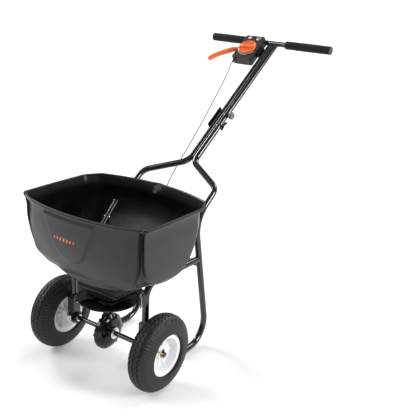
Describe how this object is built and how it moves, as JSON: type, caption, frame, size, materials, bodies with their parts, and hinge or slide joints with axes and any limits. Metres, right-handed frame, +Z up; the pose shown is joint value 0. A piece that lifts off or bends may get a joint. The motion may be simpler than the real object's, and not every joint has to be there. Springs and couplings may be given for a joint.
{
  "type": "broadcast spreader",
  "caption": "Walk-behind broadcast spreader with a moulded hopper on a bent tube frame, two pneumatic wheels, a geared impeller and a long handle with a rate dial and lever.",
  "frame": {"origin": "centre of the whole object's footprint box, on the ground", "axes": "+Z up, +X to the object's left-hand side as seen from behind the hopper, -Y to the front, +Y back to the handle; the longest side lies along Y and the shortest along X"},
  "size_m": [0.542, 1.137, 1.0228],
  "materials": {
    "black_paint": "gloss black powder coat",
    "hopper_plastic": "satin moulded polyethylene",
    "black_plastic": "satin moulded",
    "dark_steel": "satin",
    "zinc_steel": "bright zinc plate",
    "nylon": "satin moulded",
    "gloss_black": "gloss black",
    "bronze": "sintered bronze",
    "bright_ring": "polished",
    "yellow_zinc": "yellow zinc plate",
    "black_rubber": "matte",
    "tyre_rubber": "moulded tread",
    "white_plastic": "satin moulded",
    "foam": "closed-cell foam",
    "grip_cap": "satin",
    "grey_plastic": "ribbed satin",
    "box_plastic": "fine texture",
    "orange_plastic": "satin moulded",
    "white_ink": "pad printed",
    "cable_jacket": "satin"
  },
  "bodies": {
    "frame": {"strut_left": "black_paint", "strut_right": "black_paint", "side_tube_left": "black_paint", "side_tube_right": "black_paint", "rear_cross_tube": "black_paint", "upper_tube_left": "black_paint", "upper_tube_right": "black_paint", "crossbar": "black_paint", "axle_brackets": "black_paint", "clamp_plate": "black_paint", "box_bracket": "black_paint", "hopper": "hopper_plastic", "outlet_base": "black_plastic", "shutoff_guides": "dark_steel", "deflector": "black_plastic", "spindle_bush": "nylon", "gear_case_left": "gloss_black", "gear_case_right": "gloss_black", "case_screws": "zinc_steel", "case_bushes": "bronze", "case_rings": "bright_ring", "bracket_bolts": "yellow_zinc", "axle_bearings": "nylon", "foot_caps": "black_rubber", "grip_left_foam": "foam", "grip_right_foam": "foam", "grip_caps": "grip_cap", "clamp_bolts": "zinc_steel", "control_box": "box_plastic", "control_cover": "box_plastic", "dial_marks": "white_ink", "lever_pivot": "zinc_steel", "cable_boot": "black_rubber", "control_cable": "cable_jacket", "cable_ferrule": "zinc_steel"},
    "drive_axle": {"axle": "gloss_black", "rim_right": "white_plastic", "tyre_right": "tyre_rubber", "valve_right": "yellow_zinc", "ring_gear": "bronze", "drive_pin": "yellow_zinc", "end_collar": "yellow_zinc", "hub_washers": "zinc_steel"},
    "idle_wheel": {"rim_left": "white_plastic", "tyre_left": "tyre_rubber", "valve_left": "yellow_zinc"},
    "spreader_spindle": {"spindle": "zinc_steel", "impeller": "black_plastic", "agitator_finger": "black_plastic", "agitator_pin": "zinc_steel", "pinion_gear": "zinc_steel"},
    "shutoff": {"shutoff_plate": "dark_steel", "control_wire": "zinc_steel"},
    "on_off_lever": {"lever": "orange_plastic"},
    "dial": {"rate_dial": "orange_plastic", "dial_screw": "zinc_steel"},
    "clamp_knob_body": {"clamp_knob": "grey_plastic"},
    "wing_nut_body": {"wing_nut": "black_plastic"}
  },
  "joints": [
    {"name": "axle_spin", "type": "hinge", "parent": "frame", "child": "drive_axle", "pos_m": [0.016, -0.3875, 0.127], "axis": [1, 0, 0], "continuous": true},
    {"name": "idle_wheel_spin", "type": "hinge", "parent": "frame", "child": "idle_wheel", "pos_m": [-0.198, -0.3875, 0.127], "axis": [1, 0, 0], "continuous": true},
    {"name": "spindle_spin", "type": "hinge", "parent": "frame", "child": "spreader_spindle", "pos_m": [0.016, -0.3875, 0.244], "axis": [0, 0, 1], "continuous": true},
    {"name": "lever_swing", "type": "hinge", "parent": "frame", "child": "on_off_lever", "pos_m": [-0.089, 0.51, 0.97923], "axis": [0, 0.588, -0.8089], "range_deg": [0, 32]},
    {"name": "shutoff_slide", "type": "slide", "parent": "frame", "child": "shutoff", "axis": [0, 1, 0], "range_m": [0, 0.02]},
    {"name": "dial_turn", "type": "hinge", "parent": "frame", "child": "dial", "pos_m": [-0.06, 0.47941, 0.98049], "axis": [0, -0.588, 0.8089], "range_deg": [-60, 240]},
    {"name": "clamp_knob_turn", "type": "hinge", "parent": "frame", "child": "clamp_knob_body", "pos_m": [0.046, 0.22663, 0.76212], "axis": [1, 0, 0], "continuous": true},
    {"name": "wing_nut_turn", "type": "hinge", "parent": "frame", "child": "wing_nut_body", "pos_m": [0.046, 0.18214, 0.72978], "axis": [1, 0, 0], "continuous": true}
  ],
  "couplings": [
    {"joint": "spindle_spin", "follows": "axle_spin", "ratio": 3},
    {"joint": "shutoff_slide", "follows": "lever_swing", "m_per_rad": 0.03581}
  ]
}
